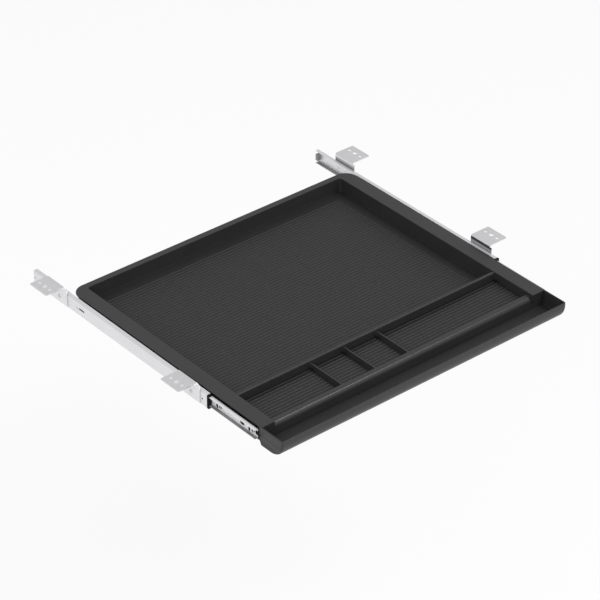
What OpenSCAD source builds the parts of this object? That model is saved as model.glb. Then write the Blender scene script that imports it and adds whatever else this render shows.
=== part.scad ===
// Center desk drawer: a moulded pencil tray on two ball-bearing side slides,
// hung under a desktop by four flanged brackets.
// Origin: centre of the mounting plane, on top of the bracket flanges.
// +X to the right, +Y to the back of the desk, +Z up. Drawn part way open.

/* [Tray] */
// Width over the side rims
tray_w = 590; // [560:1:640]
// Depth from the back rim to the front lip
tray_d = 539; // [500:1:580]
// Height of the front nose
tray_h = 35; // [33:0.5:40]
// Height of the tray body behind the nose
body_h = 30; // [29:0.5:32]
// Width of each side rim
rim_w = 26.4; // [24:0.2:32]
// Width of the back rim
back_rim_w = 11.6; // [9:0.2:20]
// Thickness of the moulded walls
wall_t = 2.6; // [2:0.1:3]
// Thickness of the floors
floor_t = 2.6; // [2:0.1:2.8]
// Depth of the main well and of the finger scoop below the rim
well_depth = 26.2; // [22:0.2:27]
// Plan radius of the two back corners
rear_corner_r = 24; // [16:1:32]
// Plan radius of the two front corners
front_corner_r = 5; // [5:0.5:12]
// Plan radius inside the wells
well_corner_r = 6; // [3:0.5:10]
// Edge height of the rim that overhangs the slides
rim_edge_h = 1.8; // [1.4:0.1:2.4]
// Depth of the side recess under that rim
recess_d = 3.7; // [2.5:0.1:5]
// Radius of the recess corner behind the cheek
recess_r = 8; // [4:0.5:12]

/* [Wells] */
// Width of the ridge between the main well and the pencil well
ridge_w = 6.5; // [5.5:0.1:14]
// Drop of the ridge top below the rim
ridge_drop = 1.7; // [1:0.1:5]
// Front-to-back size of the pencil well
pencil_d = 75.3; // [60:0.1:90]
// Depth of the pencil well below the rim
pencil_depth = 14.8; // [13:0.2:22]
// Thickness of the wall between the pencil well and the finger scoop
front_wall_w = 14.6; // [10:0.2:20]
// Drop of that wall's top below the rim
front_wall_drop = 5.3; // [3:0.1:8]
// Radius of that wall's top edge over the scoop
front_wall_r = 4.5; // [2:0.1:5]
// Front-to-back size of the finger scoop
scoop_d = 47.6; // [42:0.2:60]
// Width of each small pencil compartment
small_bin_w = 66.2; // [40:0.1:90]
// Offset of the right divider from the tray centre
right_divider_x = 14; // [-20:0.5:60]
// Thickness of the dividers
divider_t = 2.2; // [1.6:0.1:4]
// Drop of the divider tops below the rim
divider_drop = 6; // [6:0.1:14]
// Thickness of the front lip and of the cheeks beside the scoop
lip_t = 2.2; // [1.8:0.1:2.6]
// Radius of the nose seen from the side
nose_r = 29; // [27:0.5:32.5]
// Length of the cheeks, from the end of the slide recess to the front
cheek_len = 54.3; // [53:0.1:60]
// Length of the ramp from the body bottom down to the nose bottom
nose_ramp = 2; // [1:0.5:12]

/* [Floor ribs] */
// Distance from one floor rib to the next
rib_pitch = 6.9; // [5:0.1:12]
// Width of a floor rib
rib_w = 3.4; // [2:0.1:4.5]
// Height of a floor rib
rib_h = 0.7; // [0.4:0.1:1.2]
// Plain margin between the ribs and the outer walls
rib_margin = 20; // [8:1:30]
// Plain margin between the ribs and the ridge or the dividers
rib_gap = 4; // [2:0.5:8]
// Plain margin between the ribs and the back of the pencil well
pencil_rib_back = 2.8; // [1:0.1:6]
// Plain margin between the ribs and the front of the pencil well
pencil_rib_front = 6; // [4:0.5:10]

/* [Slides] */
// Length of the outer slide member
slide_len = 457; // [440:1:500]
// Height of the slide
slide_h = 25.4; // [24:0.1:30]
// Side space that one slide takes
slide_t = 9.5; // [9.2:0.1:12]
// Sheet thickness of the slide members
sheet_t = 1.2; // [1:0.05:1.4]
// Height of the inner member
inner_h = 16.8; // [16:0.1:17.2]
// Reach of the inner member's flanges
inner_reach = 6.9; // [6.4:0.1:7]
// Gap between the tray side and the outer member's lips
lip_gap = 2.2; // [1.6:0.1:2.4]
// Bend radius outside the outer member
slide_bend_r = 2; // [1.5:0.1:3]
// Drop of the slide's centre line below the rim top
slide_drop = 13.8; // [13.2:0.1:16]
// How far the drawer is pulled out as drawn
open_now = 113; // [60:1:200]
// How far the drawer pulls out in all
travel = 340; // [300:1:345]
// How much shorter the inner member is than the outer
inner_short = 7; // [7:0.5:12]
// Gap between the inner member's end and the cheek
cheek_gap = 2.2; // [1:0.1:4]

/* [Ball bearings] */
// Diameter of a ball
ball_d = 3.5; // [3.2:0.1:3.6]
// Balls in each row
balls_per_row = 7; // [5:1:8]
// Distance from ball to ball
ball_pitch = 12.8; // [8:0.1:12.9]
// Clearance around a ball
ball_clear = 0.1; // [0.06:0.01:0.12]
// Sheet thickness of the ball retainer
retainer_t = 0.7; // [0.5:0.05:0.8]
// Length of the ball retainer
retainer_len = 92; // [84:1:94]
// Reach of the retainer's arms towards the tray
retainer_reach = 5.6; // [5.4:0.1:5.8]

/* [Brackets] */
// From the slide's front end to the front bracket's middle hole
front_inset = 43.5; // [42:0.5:90]
// From the slide's rear end to the rear bracket's middle hole
rear_inset = 67.5; // [40:0.5:110]
// Height of the flange top above the rim top
rim_drop = 11.6; // [9:0.1:16]
// Sheet thickness of a bracket
bracket_t = 1.6; // [1.2:0.1:2.5]
// Flange reach, from the slide to its outer edge
flange_w = 38.9; // [36:0.1:50]
// Flange length along the slide
flange_len = 45.2; // [44:0.2:60]
// Extra length of the wall in front of the flange
wall_extra = 4.4; // [2:0.2:10]
// Height of the bracket, from its lower edge to the flange top
bracket_h = 35.8; // [34:0.2:37]
// Bend radius outside the bracket
bracket_bend_r = 3.5; // [2.5:0.1:5]
// Radius of the flange's outer corners
flange_corner_r = 2.5; // [1.5:0.5:8]
// Distance of the holes from the flange's outer edge
hole_edge = 13.8; // [10:0.1:16]
// Distance between neighbouring holes
hole_pitch = 13.6; // [12:0.1:15]
// Diameter of the middle hole
middle_hole_d = 7.8; // [5:0.1:9]
// Diameter of the two side holes
side_hole_d = 5.8; // [3.5:0.1:6.4]

/* [Fasteners] */
// Diameter of a rivet shank
rivet_d = 4; // [3:0.1:4.8]
// Diameter of a rivet head
rivet_head_d = 6.8; // [6:0.1:8]
// Height of a rivet head
rivet_head_h = 1.1; // [0.8:0.1:1.5]
// From a bracket's middle hole to the rivet in front of it
rivet_1_y = 5; // [4:0.5:14]
// From a bracket's middle hole to the rivet behind it
rivet_2_y = 12; // [6:0.5:16]
// Diameter of a tray screw
screw_d = 3.9; // [3.5:0.1:4.2]
// From the inner member's front end to the first tray screw
screw_1_y = 11; // [8:0.5:14]
// From the inner member's front end to the second tray screw
screw_2_y = 89.7; // [60:0.1:92]
// From the inner member's front end to the third tray screw
screw_3_y = 260; // [150:1:300]
// From the inner member's rear end to the last tray screw
screw_4_y = 25; // [10:1:60]
// Length of a tray screw under its head
screw_len = 12; // [9:0.5:13]
// Diameter of a tray screw's head
screw_head_d = 6.8; // [6:0.1:7.6]
// Height of a tray screw's head
screw_head_h = 1.8; // [1.4:0.1:2]
// Diameter of the pads that the slides are screwed against
pad_d = 12; // [10:0.5:13]
// Length of the screw bosses behind the tray's side
boss_len = 7; // [6:0.5:10]

/* [Plastic end pieces] */
// Thickness of the guide's face in front of the outer member
guide_face_t = 2.5; // [1.5:0.1:4]
// How far the guide stands proud of the outer member
guide_proud = 0.3; // [0.2:0.1:1.5]
// Length of the guide's tongue inside the outer member
guide_tongue = 14.5; // [13.5:0.1:14.8]
// Place of the guide's stud, from the front of the outer member
guide_stud_y = 11.5; // [10:0.1:12]
// Diameter of the guide's and the bumper's studs
stud_d = 3; // [2.4:0.1:4]
// Length of the rear bumper
bumper_len = 5.5; // [4:0.1:5.6]
// Height of the rear bumper
bumper_h = 12; // [8:0.5:13]

/* [Hidden] */
$fn = 48;
// Sliding clearance between a plastic end piece and the inner member
slide_clear = 0.4;
// Radial clearance of a shank or stud in its hole
fit_clear = 0.05;
// Radial clearance of a screw in the slide's hole
screw_hole_clear = 0.3;
// Overlap that joins or cuts shapes cleanly
eps = 0.5;

// Heights
rim_z = -rim_drop;
slide_z = rim_z - slide_drop;
floor_z = rim_z - well_depth;
pencil_floor_z = rim_z - pencil_depth;
body_bottom_z = rim_z - body_h;
nose_bottom_z = rim_z - tray_h;

// Places across the tray
tray_x = tray_w / 2;
skirt_x = tray_x - recess_d;
well_x = tray_x - rim_w;
scoop_x = tray_x - lip_t;
outer_x = tray_x + slide_t;
flange_edge_x = outer_x + flange_w;
hole_x = flange_edge_x - hole_edge;

// Places along the slides, with the origin midway between the brackets
bracket_span = slide_len - front_inset - rear_inset;
outer_front_y = -bracket_span / 2 - front_inset;
outer_rear_y = outer_front_y + slide_len;
inner_front_y = outer_front_y - open_now;
inner_rear_y = inner_front_y + slide_len - inner_short;
cheek_y = inner_front_y - cheek_gap;

// Places along the tray
front_y = cheek_y - cheek_len;
back_y = front_y + tray_d;
scoop_front_y = front_y + lip_t;
scoop_back_y = scoop_front_y + scoop_d;
pencil_front_y = scoop_back_y + front_wall_w;
pencil_back_y = pencil_front_y + pencil_d;
main_front_y = pencil_back_y + ridge_w;
main_back_y = back_y - back_rim_w;
nose_y = front_y + nose_r;
nose_z = nose_bottom_z + nose_r;

// Dividers, from left to right
divider_step = small_bin_w + divider_t;
divider_xs = [right_divider_x - 2 * divider_step, right_divider_x - divider_step, right_divider_x];
bin_lefts = concat([-well_x], [for (x = divider_xs) x + divider_t / 2]);
bin_rights = concat([for (x = divider_xs) x - divider_t / 2], [well_x]);

// Slide section, measured out from the tray side and up from the centre line
inner_z = inner_h / 2;
outer_z = slide_h / 2;
race_mid_z = (inner_z + outer_z - sheet_t) / 2;
web_in_u = slide_t - sheet_t;
ball_r = ball_d / 2;
ball_seat_r = ball_r + ball_clear;
retainer_gap = (web_in_u - inner_reach - retainer_t) / 2;
retainer_out_u = web_in_u - retainer_gap;
retainer_in_u = retainer_out_u - retainer_reach;
ball_u = (max(retainer_in_u, lip_gap) + inner_reach) / 2 + 0.25;

// The retainer runs at half the drawer's speed and ends just behind the guide's tongue
retainer_rest_gap = 1;
retainer_open_y = outer_front_y + guide_tongue + retainer_rest_gap + retainer_len / 2;
retainer_y = retainer_open_y + (travel - open_now) / 2;

// Fastener places
bracket_ys = [-bracket_span / 2, bracket_span / 2];
rivet_offsets = [-rivet_1_y, rivet_2_y];
screw_ys = [inner_front_y + screw_1_y, inner_front_y + screw_2_y,
    inner_front_y + screw_3_y, inner_rear_y - screw_4_y];
screw_r = screw_d / 2;
rivet_r = rivet_d / 2;
bumper_rear_inset = 0.5;
bumper_y = outer_rear_y - bumper_rear_inset - bumper_len / 2;

plastic = [0.27, 0.27, 0.28];
black = [0.07, 0.07, 0.08];
zinc = [0.80, 0.80, 0.82];
steel = [0.72, 0.72, 0.74];
rubber = [0.25, 0.25, 0.26];

// Everything on the slides is drawn for the right side and mirrored for the left
module left_side() {
    mirror([1, 0, 0]) children();
}

// A round bar or bore along X, from x0 to x1
module bar_x(x0, x1, y, z, r) {
    translate([x0, y, z]) rotate([0, 90, 0]) cylinder(r = r, h = x1 - x0);
}

// A box given by two corners
module block(low, high) {
    translate(low) cube(high - low);
}

// A section drawn as (distance from the tray side, height), extruded along the slide
module along_slide(y0, y1) {
    translate([tray_x, y1, slide_z]) rotate([90, 0, 0]) linear_extrude(y1 - y0) children();
}

// A section drawn as (y, z), extruded along X
module along_x(x0, x1) {
    translate([x0, 0, 0]) rotate([90, 0, 90]) linear_extrude(x1 - x0) children();
}

// A plan outline with its own radius at the front and at the back
module plan(x0, x1, y0, y1, front_r, back_r) {
    translate([x0, y0 + front_r]) square([x1 - x0, y1 - back_r - y0 - front_r]);
    if (front_r > 0) {
        translate([x0 + front_r, y0]) square([x1 - x0 - 2 * front_r, front_r + eps]);
        for (x = [x0 + front_r, x1 - front_r]) translate([x, y0 + front_r]) circle(front_r);
    }
    if (back_r > 0) {
        translate([x0 + back_r, y1 - back_r - eps]) square([x1 - x0 - 2 * back_r, back_r + eps]);
        for (x = [x0 + back_r, x1 - back_r]) translate([x, y1 - back_r]) circle(back_r);
    }
}

// Outside of the tray: nose profile, plan outline, and the recess that clears the slides
module tray_block() {
    difference() {
        intersection() {
            translate([0, 0, nose_bottom_z - eps]) linear_extrude(tray_h + eps)
                plan(-tray_x, tray_x, front_y, back_y, front_corner_r, rear_corner_r);
            along_x(-tray_x - eps, tray_x + eps) side_profile();
        }
        slide_recess();
        left_side() slide_recess();
    }
}

// Side view of the tray, with the quarter-round nose at the front
module side_profile() {
    ramp_y = cheek_y - eps;
    translate([front_y, nose_z]) square([tray_d, rim_z - nose_z]);
    translate([nose_y, nose_z]) circle(nose_r, $fn = 96);
    polygon([
        [nose_y, nose_z + eps], [nose_y, nose_bottom_z],
        [ramp_y - nose_ramp, nose_bottom_z], [ramp_y, body_bottom_z],
        [back_y, body_bottom_z], [back_y, nose_z + eps]
    ]);
}

// The space beside and behind the tray, under the edge of the rim
module slide_recess() {
    top_z = rim_z - rim_edge_h;
    difference() {
        translate([0, 0, nose_bottom_z - 2 * eps]) linear_extrude(top_z - nose_bottom_z + 2 * eps)
            difference() {
                translate([0, cheek_y]) square([tray_x + eps, back_y - cheek_y + eps]);
                plan(-skirt_x, skirt_x, cheek_y - eps, back_y - recess_d, 0, rear_corner_r - recess_d);
            }
        difference() {
            block([skirt_x - eps, cheek_y - eps, top_z - recess_r], [tray_x + eps, cheek_y + recess_r, top_z + eps]);
            bar_x(skirt_x - 2 * eps, tray_x + 2 * eps, cheek_y + recess_r, top_z - recess_r, recess_r);
        }
    }
}

// Every hollow that is open from above; grow adds the wall around it
module top_pockets(grow) {
    top_z = rim_z + eps - grow;
    well_r = well_corner_r + grow;
    wx = well_x + grow;
    translate([0, 0, floor_z - grow]) linear_extrude(top_z - floor_z + grow)
        plan(-wx, wx, main_front_y - grow, main_back_y + grow, well_r, well_r);
    for (i = [0 : len(bin_lefts) - 1])
        translate([0, 0, pencil_floor_z - grow]) linear_extrude(top_z - pencil_floor_z + grow)
            plan(bin_lefts[i] - grow, bin_rights[i] + grow,
                pencil_front_y - grow, pencil_back_y + grow, divider_t + grow, divider_t + grow);
    block([-wx, pencil_front_y - grow, rim_z - divider_drop - grow], [wx, pencil_back_y + grow, top_z]);
    block([-wx, scoop_back_y - eps, rim_z - front_wall_drop - grow], [wx, pencil_back_y - eps, top_z]);
    block([-wx, pencil_back_y - 2 * eps, rim_z - ridge_drop - grow], [wx, main_front_y + well_r, top_z]);
    intersection() {
        along_x(-scoop_x - grow, scoop_x + grow) scoop_profile(grow);
        translate([0, 0, nose_bottom_z]) linear_extrude(top_z - nose_bottom_z)
            plan(-scoop_x - grow, scoop_x + grow, scoop_front_y - grow, scoop_back_y + 2 * eps + grow,
                front_corner_r - lip_t + grow, 0);
    }
    if (grow == 0) front_wall_round();
}

// Rounds the front wall's top edge over the scoop
module front_wall_round() {
    top_z = rim_z - front_wall_drop;
    difference() {
        block([-well_x, scoop_back_y - eps, top_z - front_wall_r],
            [well_x, scoop_back_y + front_wall_r, top_z + eps]);
        bar_x(-tray_x, tray_x, scoop_back_y + front_wall_r, top_z - front_wall_r, front_wall_r);
    }
}

// Side view of the finger scoop, following the nose at a lip's thickness
module scoop_profile(grow) {
    inner_r = nose_r - lip_t + grow;
    scoop_z = floor_z - grow;
    intersection() {
        translate([scoop_front_y - grow, scoop_z])
            square([scoop_d + 2 * grow, rim_z + 2 * eps - scoop_z]);
        union() {
            translate([nose_y, nose_z]) circle(inner_r, $fn = 96);
            translate([nose_y, scoop_z - eps]) square([scoop_d, rim_z + 3 * eps - scoop_z]);
            translate([nose_y - inner_r, nose_z]) square([2 * inner_r, rim_z + 2 * eps - nose_z]);
        }
    }
}

// The hollow underside, closed by the walls around the wells
module under_hollow() {
    hollow_x = skirt_x - wall_t;
    difference() {
        translate([0, 0, nose_bottom_z - 2 * eps])
            linear_extrude(rim_z - wall_t - nose_bottom_z + 2 * eps)
            plan(-hollow_x, hollow_x, scoop_back_y - eps, back_y - recess_d - wall_t,
                0, rear_corner_r - recess_d - wall_t);
        top_pockets(wall_t);
    }
}

// Groove under the nose, with cross ribs
module nose_groove() {
    groove_x = tray_x - rim_w;
    cross_step = 90;
    rib_t = 2.4;
    difference() {
        block([-groove_x, nose_y - eps, nose_bottom_z - eps],
            [groove_x, scoop_back_y - wall_t, floor_z - floor_t]);
        for (x = [-cross_step * 3 : cross_step : cross_step * 3])
            block([x - rib_t / 2, nose_y - 2 * eps, nose_bottom_z - 2 * eps],
                [x + rib_t / 2, scoop_back_y, floor_z]);
    }
}

// A row of ribs on a floor at height z between two y values, drawn as one comb
module floor_ribs(x0, x1, y0, y1, z) {
    count = floor((y1 - y0 - rib_w) / rib_pitch) + 1;
    used = (count - 1) * rib_pitch + rib_w;
    first_y = (y0 + y1 - used) / 2;
    top = z + rib_h;
    root = z - floor_t / 2;
    teeth = [for (i = [0 : count - 1]) each [
        [first_y + i * rib_pitch, z - rib_h / 2], [first_y + i * rib_pitch, top],
        [first_y + i * rib_pitch + rib_w, top], [first_y + i * rib_pitch + rib_w, z - rib_h / 2]
    ]];
    along_x(x0, x1) polygon(concat([[first_y, root]], teeth, [[first_y + used, root]]));
}

// Pad, boss and pilot bore for one tray screw on the right side
module screw_pad(y) {
    bar_x(skirt_x - eps, tray_x, y, slide_z, pad_d / 2);
    bar_x(skirt_x - wall_t - boss_len, skirt_x, y, slide_z, screw_r + wall_t);
}

module screw_bores() {
    for (y = screw_ys)
        bar_x(skirt_x - wall_t - boss_len - eps, tray_x + eps, y, slide_z, screw_r + fit_clear);
}

// The moulded tray in one piece
module tray() {
    color(plastic) difference() {
        union() {
            difference() {
                tray_block();
                top_pockets(0);
                under_hollow();
                nose_groove();
            }
            floor_ribs(-well_x + rib_margin, well_x - rib_margin,
                main_front_y + rib_gap, main_back_y - rib_margin, floor_z);
            for (i = [0 : len(bin_lefts) - 1])
                floor_ribs(bin_lefts[i] + (i == 0 ? rib_margin : rib_gap),
                    bin_rights[i] - (i == len(bin_lefts) - 1 ? rib_margin : rib_gap),
                    pencil_front_y + pencil_rib_front, pencil_back_y - pencil_rib_back, pencil_floor_z);
            for (y = screw_ys) {
                screw_pad(y);
                left_side() screw_pad(y);
            }
        }
        screw_bores();
        left_side() screw_bores();
    }
}

// Section of the outer member, open towards the tray
module outer_section() {
    difference() {
        union() {
            translate([lip_gap, -outer_z]) square([slide_t - slide_bend_r - lip_gap, slide_h]);
            translate([lip_gap, slide_bend_r - outer_z])
                square([slide_t - lip_gap, slide_h - 2 * slide_bend_r]);
            for (s = [-1, 1]) translate([slide_t - slide_bend_r, s * (outer_z - slide_bend_r)])
                circle(slide_bend_r);
        }
        in_r = slide_bend_r - sheet_t;
        in_z = outer_z - sheet_t;
        translate([lip_gap - eps, -in_z]) square([web_in_u - in_r - lip_gap + eps, 2 * in_z]);
        translate([lip_gap - eps, in_r - in_z]) square([web_in_u - lip_gap + eps, 2 * (in_z - in_r)]);
        for (s = [-1, 1]) translate([web_in_u - in_r, s * (in_z - in_r)]) circle(in_r);
        for (s = [-1, 1]) translate([ball_u, s * race_mid_z]) circle(ball_seat_r);
    }
}

// A slot through a slide web along X, long axis along Y or Z
module web_slot(x0, x1, y, z, long, wide, upright) {
    reach = (long - wide) / 2;
    dy = upright ? 0 : reach;
    dz = upright ? reach : 0;
    for (s = [-1, 1]) bar_x(x0, x1, y + s * dy, z + s * dz, wide / 2);
    if (upright) block([x0, y - wide / 2, z - dz], [x1, y + wide / 2, z + dz]);
    else block([x0, y - dy, z - wide / 2], [x1, y + dy, z + wide / 2]);
}

module outer_member() {
    slot_from_rear = 129;
    slot_len = 21;
    slot_wide = 3.2;
    slot_rise = 1;
    web_x0 = tray_x + web_in_u - eps;
    web_x1 = outer_x + eps;
    color(zinc) difference() {
        along_slide(outer_front_y, outer_rear_y) outer_section();
        web_slot(web_x0, web_x1, outer_rear_y - slot_from_rear, slide_z + slot_rise, slot_len, slot_wide, false);
        for (by = bracket_ys, dy = rivet_offsets)
            bar_x(web_x0, web_x1, by + dy, slide_z, rivet_r + fit_clear);
        bar_x(web_x0, web_x1, outer_front_y + guide_stud_y, slide_z, stud_d / 2 + fit_clear);
        bar_x(web_x0, web_x1, bumper_y, slide_z, stud_d / 2 + fit_clear);
    }
}

// Section of the inner member, open away from the tray
module inner_section() {
    difference() {
        translate([0, -inner_z]) square([inner_reach, inner_h]);
        translate([sheet_t, sheet_t - inner_z]) square([inner_reach, inner_h - 2 * sheet_t]);
        for (s = [-1, 1]) translate([ball_u, s * race_mid_z]) circle(ball_seat_r);
    }
}

module inner_member() {
    x0 = tray_x - eps;
    x1 = tray_x + sheet_t + eps;
    narrow = 2.6;
    upright_len = 12;
    oblong_len = 8;
    oblong_wide = 4;
    upright_steps = [20.5, 98.4];
    oblong_steps = [37.4, 330];
    notch_len = 5;
    notch_h = 7;
    color(zinc) difference() {
        along_slide(inner_front_y, inner_rear_y) inner_section();
        for (y = screw_ys) bar_x(x0, x1, y, slide_z, screw_r + screw_hole_clear);
        for (s = upright_steps)
            web_slot(x0, x1, inner_front_y + s, slide_z, upright_len, narrow, true);
        for (s = oblong_steps)
            web_slot(x0, x1, inner_front_y + s, slide_z, oblong_len, oblong_wide, false);
        block([x0, inner_front_y - eps, slide_z - notch_h / 2],
            [x1, inner_front_y + notch_len, slide_z + notch_h / 2]);
    }
}

// Places of the balls along one row
function ball_ys() = [for (i = [0 : balls_per_row - 1]) retainer_y + (i - (balls_per_row - 1) / 2) * ball_pitch];

// Section of the ball retainer: a web beside the outer member, and two arms
module retainer_section() {
    arm_top = race_mid_z + retainer_t / 2;
    difference() {
        translate([retainer_in_u, -arm_top]) square([retainer_reach, 2 * arm_top]);
        translate([retainer_in_u - eps, retainer_t - arm_top])
            square([retainer_reach - retainer_t + eps, 2 * (arm_top - retainer_t)]);
    }
}

module ball_retainer() {
    window_len = 18;
    window_h = 9;
    window_step = 26;
    color(steel) difference() {
        along_slide(retainer_y - retainer_len / 2, retainer_y + retainer_len / 2) retainer_section();
        for (y = ball_ys())
            translate([tray_x + ball_u, y, slide_z - outer_z]) cylinder(r = ball_seat_r, h = slide_h);
        for (i = [-1 : 1])
            block([tray_x + retainer_out_u - retainer_t - eps, retainer_y + i * window_step - window_len / 2,
                slide_z - window_h / 2],
                [tray_x + retainer_out_u + eps, retainer_y + i * window_step + window_len / 2,
                slide_z + window_h / 2]);
    }
}

module bearing_balls() {
    color(steel) for (y = ball_ys(), s = [-1, 1])
        translate([tray_x + ball_u, y, slide_z + s * race_mid_z]) sphere(r = ball_r, $fn = 24);
}

// Black guide that caps the outer member's front end and runs in the inner member
module front_guide() {
    channel_z = inner_z - sheet_t - slide_clear;
    head_u = sheet_t + screw_head_h + slide_clear;
    proud_u = slide_t + guide_proud;
    proud_z = outer_z + guide_proud;
    corner_r = slide_bend_r + guide_proud;
    color(black) union() {
        along_slide(outer_front_y - guide_face_t, outer_front_y) difference() {
            union() {
                translate([lip_gap, -proud_z]) square([proud_u - corner_r - lip_gap, 2 * proud_z]);
                translate([lip_gap, corner_r - proud_z])
                    square([proud_u - lip_gap, 2 * (proud_z - corner_r)]);
                for (s = [-1, 1]) translate([proud_u - corner_r, s * (proud_z - corner_r)]) circle(corner_r);
            }
            translate([0, -inner_z - slide_clear])
                square([inner_reach + slide_clear, inner_h + 2 * slide_clear]);
        }
        along_slide(outer_front_y - guide_face_t, outer_front_y + guide_tongue)
            translate([head_u, -channel_z]) square([web_in_u - head_u, 2 * channel_z]);
        bar_x(tray_x + web_in_u - eps, outer_x, outer_front_y + guide_stud_y, slide_z, stud_d / 2);
    }
}

// Bumper that stops the inner member at the back
module rear_bumper() {
    bumper_in_u = 1.6;
    color(rubber) union() {
        block([tray_x + bumper_in_u, bumper_y - bumper_len / 2, slide_z - bumper_h / 2],
            [tray_x + web_in_u, bumper_y + bumper_len / 2, slide_z + bumper_h / 2]);
        bar_x(tray_x + web_in_u - eps, outer_x, bumper_y, slide_z, stud_d / 2);
    }
}

// Section of a bracket: wall on the slide, bend, and flange pointing outwards
module bracket_section() {
    in_r = bracket_bend_r - bracket_t;
    translate([0, -bracket_h]) square([bracket_t, bracket_h - bracket_bend_r]);
    translate([bracket_bend_r, -bracket_t]) square([flange_w - bracket_bend_r, bracket_t]);
    intersection() {
        translate([0, -bracket_bend_r]) square([bracket_bend_r, bracket_bend_r]);
        difference() {
            translate([bracket_bend_r, -bracket_bend_r]) circle(bracket_bend_r);
            translate([bracket_bend_r, -bracket_bend_r]) circle(in_r);
        }
    }
}

// A bracket whose middle hole is at y on the right side
module bracket(y) {
    half_len = flange_len / 2;
    color(zinc) difference() {
        union() {
            intersection() {
                translate([outer_x, y + half_len, 0]) rotate([90, 0, 0])
                    linear_extrude(flange_len) bracket_section();
                translate([0, 0, -bracket_h - eps]) linear_extrude(bracket_h + 2 * eps) union() {
                    translate([outer_x - eps, y - half_len])
                        square([flange_w - flange_corner_r + eps, flange_len]);
                    translate([outer_x, y - half_len + flange_corner_r])
                        square([flange_w, flange_len - 2 * flange_corner_r]);
                    for (s = [-1, 1])
                        translate([flange_edge_x - flange_corner_r, y + s * (half_len - flange_corner_r)])
                            circle(flange_corner_r);
                }
            }
            block([outer_x, y - half_len - wall_extra, -bracket_h],
                [outer_x + bracket_t, y - half_len + eps, -bracket_bend_r]);
        }
        translate([hole_x, y, -bracket_t - eps]) cylinder(d = middle_hole_d, h = bracket_t + 2 * eps);
        for (s = [-1, 1])
            translate([hole_x, y + s * hole_pitch, -bracket_t - eps])
                cylinder(d = side_hole_d, h = bracket_t + 2 * eps);
        for (dy = rivet_offsets)
            bar_x(outer_x - eps, outer_x + bracket_t + eps, y + dy, slide_z, rivet_r + fit_clear);
    }
}

// Rivets, set flush inside the slide so that the retainer passes them
module bracket_rivets() {
    dimple_r = 1.1;
    dimple_depth = 0.6;
    shank_len = sheet_t + bracket_t;
    head_r = rivet_head_d / 2;
    rim_r = head_r - rivet_head_h / 2;
    color(steel) for (by = bracket_ys, dy = rivet_offsets)
        translate([outer_x - sheet_t, by + dy, slide_z]) rotate([0, 90, 0]) rotate_extrude() polygon([
            [0, 0], [rivet_r, 0], [rivet_r, shank_len], [head_r, shank_len],
            [head_r, shank_len + rivet_head_h / 2], [rim_r, shank_len + rivet_head_h],
            [dimple_r, shank_len + rivet_head_h], [0, shank_len + rivet_head_h - dimple_depth]
        ]);
}

// Screws that hold the inner member against the tray's pads
module tray_screws() {
    head_r = screw_head_d / 2;
    edge = 0.5;
    tip = 1.5;
    tip_r = 0.95;
    recess_w = 0.9;
    recess_len = 3.6;
    recess_depth = 1.2;
    color(steel) for (y = screw_ys)
        translate([tray_x + sheet_t, y, slide_z]) rotate([0, 90, 0]) difference() {
            rotate_extrude() polygon([
                [0, -screw_len], [tip_r, -screw_len], [screw_r, tip - screw_len], [screw_r, 0],
                [head_r, 0], [head_r, screw_head_h - edge], [head_r - edge, screw_head_h], [0, screw_head_h]
            ]);
            for (a = [0, 90]) rotate([0, 0, a])
                translate([-recess_len / 2, -recess_w / 2, screw_head_h - recess_depth])
                    cube([recess_len, recess_w, recess_depth + eps]);
        }
}

tray();
left_side() outer_member();  // outer_member_left
outer_member();  // outer_member_right
left_side() inner_member();  // inner_member_left
inner_member();  // inner_member_right
left_side() ball_retainer();  // ball_retainer_left
ball_retainer();  // ball_retainer_right
left_side() bearing_balls();  // bearing_balls_left
bearing_balls();  // bearing_balls_right
left_side() front_guide();  // front_guide_left
front_guide();  // front_guide_right
left_side() rear_bumper();  // rear_bumper_left
rear_bumper();  // rear_bumper_right
left_side() bracket(bracket_ys[0]);  // bracket_left_front
left_side() bracket(bracket_ys[1]);  // bracket_left_rear
bracket(bracket_ys[0]);  // bracket_right_front
bracket(bracket_ys[1]);  // bracket_right_rear
left_side() bracket_rivets();  // bracket_rivets_left
bracket_rivets();  // bracket_rivets_right
left_side() tray_screws();  // tray_screws_left
tray_screws();  // tray_screws_right
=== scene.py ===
"""Looks of a center desk drawer: a moulded pencil tray on ball-bearing side slides, hung by four brackets."""
import math

import bmesh
import bpy
from mathutils import Matrix, Vector


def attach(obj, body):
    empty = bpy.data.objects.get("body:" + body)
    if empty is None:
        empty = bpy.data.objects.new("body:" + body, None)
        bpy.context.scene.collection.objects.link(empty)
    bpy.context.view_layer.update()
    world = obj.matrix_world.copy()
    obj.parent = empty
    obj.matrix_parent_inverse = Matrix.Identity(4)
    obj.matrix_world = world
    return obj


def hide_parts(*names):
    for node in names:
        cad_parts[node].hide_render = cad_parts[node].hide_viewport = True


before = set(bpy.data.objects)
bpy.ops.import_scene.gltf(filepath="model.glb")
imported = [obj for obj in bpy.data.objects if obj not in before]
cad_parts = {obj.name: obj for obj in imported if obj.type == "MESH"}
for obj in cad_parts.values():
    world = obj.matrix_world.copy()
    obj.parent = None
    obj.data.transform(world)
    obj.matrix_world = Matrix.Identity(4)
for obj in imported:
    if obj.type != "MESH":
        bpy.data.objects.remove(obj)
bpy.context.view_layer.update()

MM = 0.001

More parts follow.
